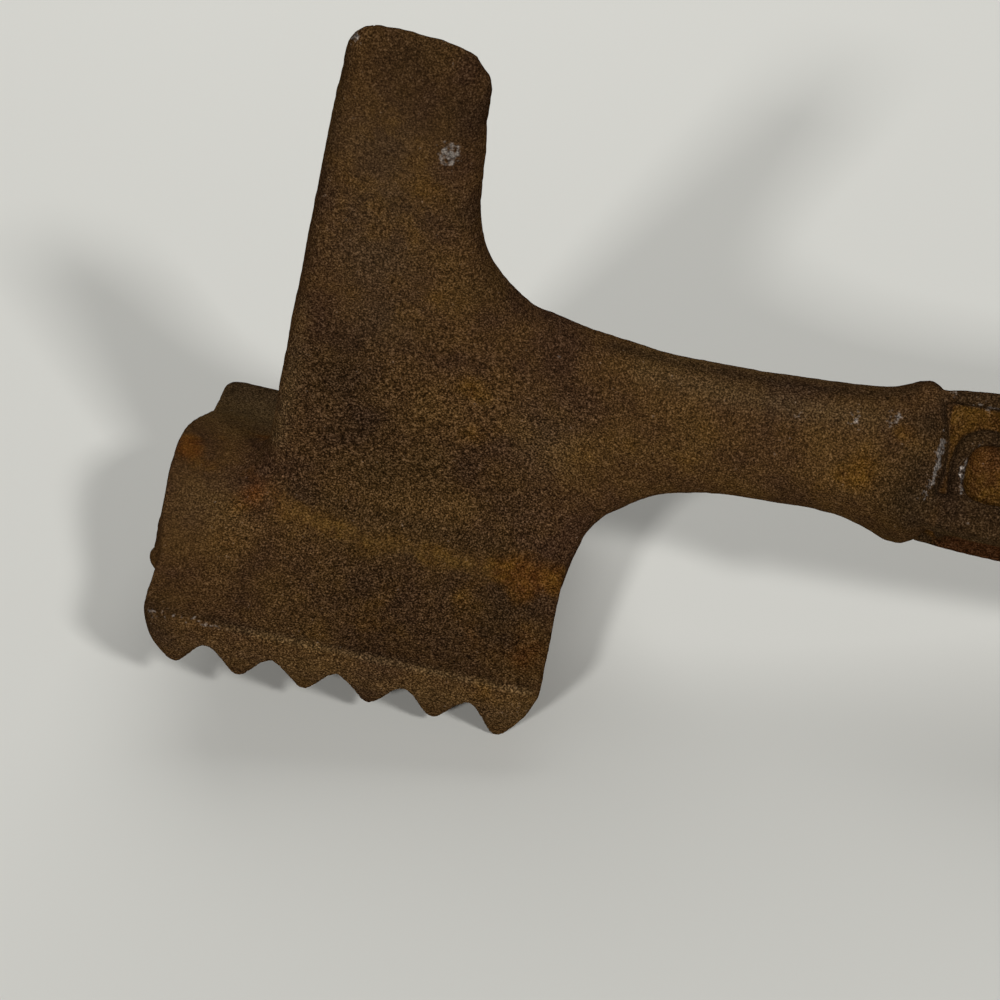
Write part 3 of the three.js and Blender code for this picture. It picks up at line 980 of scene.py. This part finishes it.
def grained(tree, colour, grain):
    """The colour with its grain. The lightest grains are greyer."""
    shade = math_node(tree, "POWER", E, grain)
    colour = add(tree, "ShaderNodeVectorMath", {0: colour, "Scale": shade}, operation="SCALE").outputs[0]
    light = times(tree, step_up(tree, grain, 0.2, 1.5), LIGHT_GRAIN_COVER)
    return blend(tree, light, colour, LIGHT_GRAIN_COLOUR)


def iron_material(name):
    """Rusty cast iron. It has no gloss of its own except where it is rubbed through to the metal, which
    also paints highlights.
    """
    material = bpy.data.materials.new(name)
    material.use_nodes = True
    tree = material.node_tree
    shader = tree.nodes["Principled BSDF"]
    place = add(tree, "ShaderNodeTexCoord").outputs["Object"]
    layers = (CLOUDS, BLOTCHES, DENTS, COARSE, GRIT, FINE)
    clouds, blotches, dents, coarse, grit, fine = (noise(tree, place, *layer) for layer in layers)

    colour = iron_colour(tree, clouds, blotches, coarse)
    # Rubbed-through grey iron, also painted as highlights along the collar's rim, the lip, the head's
    # edge and the grip's top edge
    bare_and_highlight = step_up(tree, plus(tree, mask(tree, "worn_and_highlight"), around_zero(tree, grit, 1.6)), 0.35, 0.95)
    colour = blend(tree, times(tree, bare_and_highlight, BARE_AND_HIGHLIGHT_COVER), colour, BARE_AND_HIGHLIGHT_COLOUR)
    colour = grained(tree, colour, grain_of(tree, fine, grit, coarse))
    tree.links.new(colour, shader.inputs["Base Color"])
    tree.links.new(times(tree, bare_and_highlight, 0.7), shader.inputs["Metallic"])

    dull = plus(tree, times(tree, blotches, 0.3), 0.55)
    tree.links.new(minus(tree, dull, times(tree, bare_and_highlight, 0.32)), shader.inputs["Roughness"])
    shader.inputs["Specular IOR Level"].default_value = 0.0

    height = plus(tree, times(tree, fine, 0.35), grit)
    height = plus(tree, height, times(tree, dents, 1.2))
    bump = add(tree, "ShaderNodeBump", {"Height": height, "Strength": 0.6, "Distance": 0.00025})
    tree.links.new(bump.outputs["Normal"], shader.inputs["Normal"])
    return material


finishes = {slot: iron_material("rusty_" + slot) for slot in sorted(set(PIECES.values()))}
for piece in pieces:
    piece.data.materials.append(finishes[PIECES[piece.name.removeprefix("cast_")]])

# Floor
FLOOR_HALF = 4
FLOOR_COLOUR = (0.68, 0.675, 0.63, 1)
floor_corners = [(x * FLOOR_HALF, y * FLOOR_HALF, 0) for x, y in ((-1, -1), (1, -1), (1, 1), (-1, 1))]
floor_mesh = bpy.data.meshes.new("floor")
floor_mesh.from_pydata(floor_corners, [], [(0, 1, 2, 3)])
floor = bpy.data.objects.new("floor", floor_mesh)
bpy.context.scene.collection.objects.link(floor)
floor_material = bpy.data.materials.new("floor")
floor_material.use_nodes = True
floor_shader = floor_material.node_tree.nodes["Principled BSDF"]
floor_shader.inputs["Base Color"].default_value = FLOOR_COLOUR
floor_shader.inputs["Roughness"].default_value = 0.9
floor_mesh.materials.append(floor_material)

# Light
AIM = Vector((-0.04, 0, 0.03))
WORLD_COLOUR = (0.95, 0.97, 1.0, 1)
WORLD_STRENGTH = 0.05


def lamp(name, azimuth, elevation, size, power, distance):
    """A square soft lamp that faces the object. Azimuth 0 is on the camera's side, 90 on the right."""
    data = bpy.data.lights.new(name, "AREA")
    data.size = size
    data.energy = power
    a, e = math.radians(azimuth), math.radians(elevation)
    way = Vector((math.sin(a) * math.cos(e), -math.cos(a) * math.cos(e), math.sin(e)))
    light = bpy.data.objects.new(name, data)
    light.location = way * distance + AIM
    light.rotation_euler = way.to_track_quat("Z", "Y").to_euler()
    bpy.context.scene.collection.objects.link(light)


lamp("front_left", azimuth=-17.5, elevation=28.2, size=0.43, power=97, distance=4.33)
lamp("front_right", azimuth=40, elevation=38.6, size=0.44, power=70, distance=3.78)
lamp("behind", azimuth=194.5, elevation=50, size=0.6, power=1.75, distance=0.575)

world = bpy.data.worlds.new("studio")
world.use_nodes = True
background = world.node_tree.nodes["Background"]
background.inputs["Color"].default_value = WORLD_COLOUR
background.inputs["Strength"].default_value = WORLD_STRENGTH
bpy.context.scene.world = world
bpy.context.scene.view_settings.view_transform = "Standard"

# Camera, fitted to the photograph in the tool's axes
EYE = (40.54, -266.55, 228.29)
CAMERA_RIGHT = (0.97743, 0.13124, 0.16558)
CAMERA_UP = (-0.21128, 0.60280, 0.76941)
FOCAL_PIXELS = 2650.1
PHOTO_PIXELS = 1000
SENSOR = 36
camera_data = bpy.data.cameras.new("camera")
camera_data.lens = FOCAL_PIXELS / PHOTO_PIXELS * SENSOR
camera_data.sensor_width = SENSOR
camera_data.clip_start = 0.01
camera = bpy.data.objects.new("camera", camera_data)
tip = Matrix.Rotation(LEAN, 3, "Y")
right = (tip @ Vector(CAMERA_RIGHT)).normalized()
up = tip @ Vector(CAMERA_UP)
back = right.cross(up).normalized()
up = back.cross(right)
eye = (tip @ Vector(EYE) + Vector(TOOL_AT)) / 1000
camera.matrix_world = Matrix.Translation(eye) @ Matrix((right, up, back)).transposed().to_4x4()
bpy.context.scene.collection.objects.link(camera)
bpy.context.scene.camera = camera
